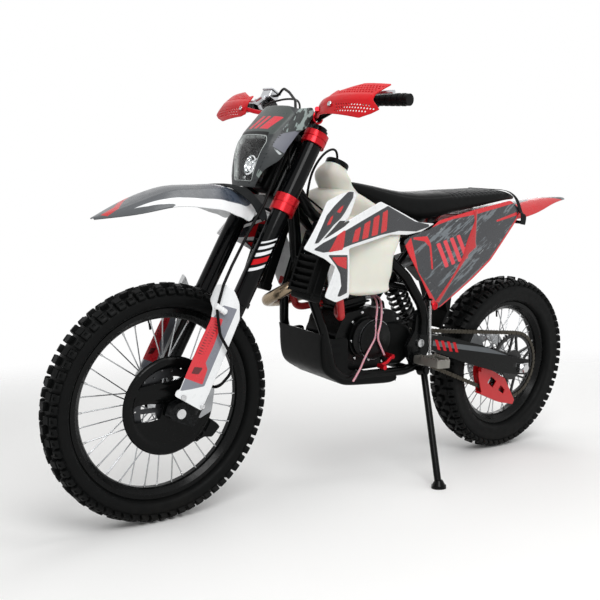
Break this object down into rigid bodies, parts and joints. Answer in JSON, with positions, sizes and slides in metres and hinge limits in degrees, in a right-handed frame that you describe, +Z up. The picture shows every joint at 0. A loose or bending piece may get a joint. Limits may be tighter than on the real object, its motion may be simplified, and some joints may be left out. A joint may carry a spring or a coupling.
{
  "type": "trail motorcycle",
  "caption": "Trail motorcycle with a long-travel front fork, spoked wheels on knobbly tyres, a slim seat and plastic bodywork, leaning on its side stand.",
  "frame": {"origin": "on the ground under the middle of the bounding box, with the machine leaning on its side stand", "axes": "+X forward, +Y to the rider's left, +Z up"},
  "size_m": [2.167, 0.8216, 1.3159],
  "materials": {
    "black_paint": "gloss",
    "black_plastic": "satin",
    "bronze_steel": "heat-tinted",
    "dark_metal": "satin",
    "grey_plastic": "gloss",
    "lamp": "clear",
    "pink_hose": "translucent",
    "raw_aluminium": "satin",
    "red_metal": "anodised",
    "red_plastic": "satin",
    "red_rubber": "satin",
    "rubber": "matte",
    "seat_cover": "matte",
    "steel": "brushed",
    "tank_plastic": "satin",
    "tyre": "matte",
    "webbing": "woven",
    "white_plastic": "gloss"
  },
  "bodies": {
    "frame": {"frame": "black_paint", "engine_case": "dark_metal", "cylinder_head": "dark_metal", "carburettor": "raw_aluminium", "exhaust_header": "bronze_steel", "silencer": "raw_aluminium", "radiators": "raw_aluminium", "radiator_guards": "black_plastic", "coolant_hoses": "red_rubber", "fuel_tank": "tank_plastic", "fuel_cap": "black_plastic", "shroud_left": "white_plastic", "shroud_right": "white_plastic", "seat": "seat_cover", "side_panel_left": "grey_plastic", "side_panel_right": "grey_plastic", "rear_fender": "red_plastic", "airbox": "black_plastic", "shock": "dark_metal", "swingarm": "black_paint", "axle_bolts": "steel", "chain": "steel", "chain_guide": "red_plastic", "rear_caliper": "raw_aluminium", "foot_pegs": "steel", "foot_levers": "raw_aluminium", "skid_plate": "black_plastic", "grab_strap": "webbing", "throttle_cable": "rubber", "drain_hose_front": "pink_hose", "drain_hose_rear": "pink_hose", "stand_spring": "steel"},
    "side_stand": {"side_stand": "black_paint"},
    "steering": {"triple_clamps": "red_metal", "fork_tubes": "black_paint", "fork_legs": "raw_aluminium", "fork_guards": "white_plastic", "front_axle": "steel", "handlebar": "black_paint", "grips": "rubber", "bar_controls": "raw_aluminium", "hand_guards": "red_plastic", "headlight_mask": "grey_plastic", "headlight": "lamp", "front_fender": "white_plastic", "brake_hose": "rubber", "disc_guard": "black_plastic", "front_caliper": "raw_aluminium"},
    "front_wheel": {"front_tyre": "tyre", "front_wheel": "black_paint", "front_disc": "steel"},
    "rear_wheel": {"rear_tyre": "tyre", "rear_wheel": "black_paint", "rear_disc": "steel", "rear_sprocket": "dark_metal"}
  },
  "joints": [
    {"name": "steering", "type": "hinge", "parent": "frame", "child": "steering", "pos_m": [0.33581, -0.02997, 1.0131], "axis": [-0.4462, 0.1168, 0.8873], "range_deg": [-40, 40], "deforming": ["throttle_cable"]},
    {"name": "front_wheel_spin", "type": "hinge", "parent": "steering", "child": "front_wheel", "pos_m": [0.73396, -0.11753, 0.34801], "axis": [0, 0.9914, -0.1305], "continuous": true},
    {"name": "rear_wheel_spin", "type": "hinge", "parent": "frame", "child": "rear_wheel", "pos_m": [-0.74604, -0.1191, 0.33611], "axis": [0, 0.9914, -0.1305], "continuous": true},
    {"name": "stand_fold", "type": "hinge", "parent": "frame", "child": "side_stand", "pos_m": [-0.19004, 0.02398, 0.36569], "axis": [0, 0.9914, 0.1305], "range_deg": [0, 97], "deforming": ["stand_spring"]}
  ]
}
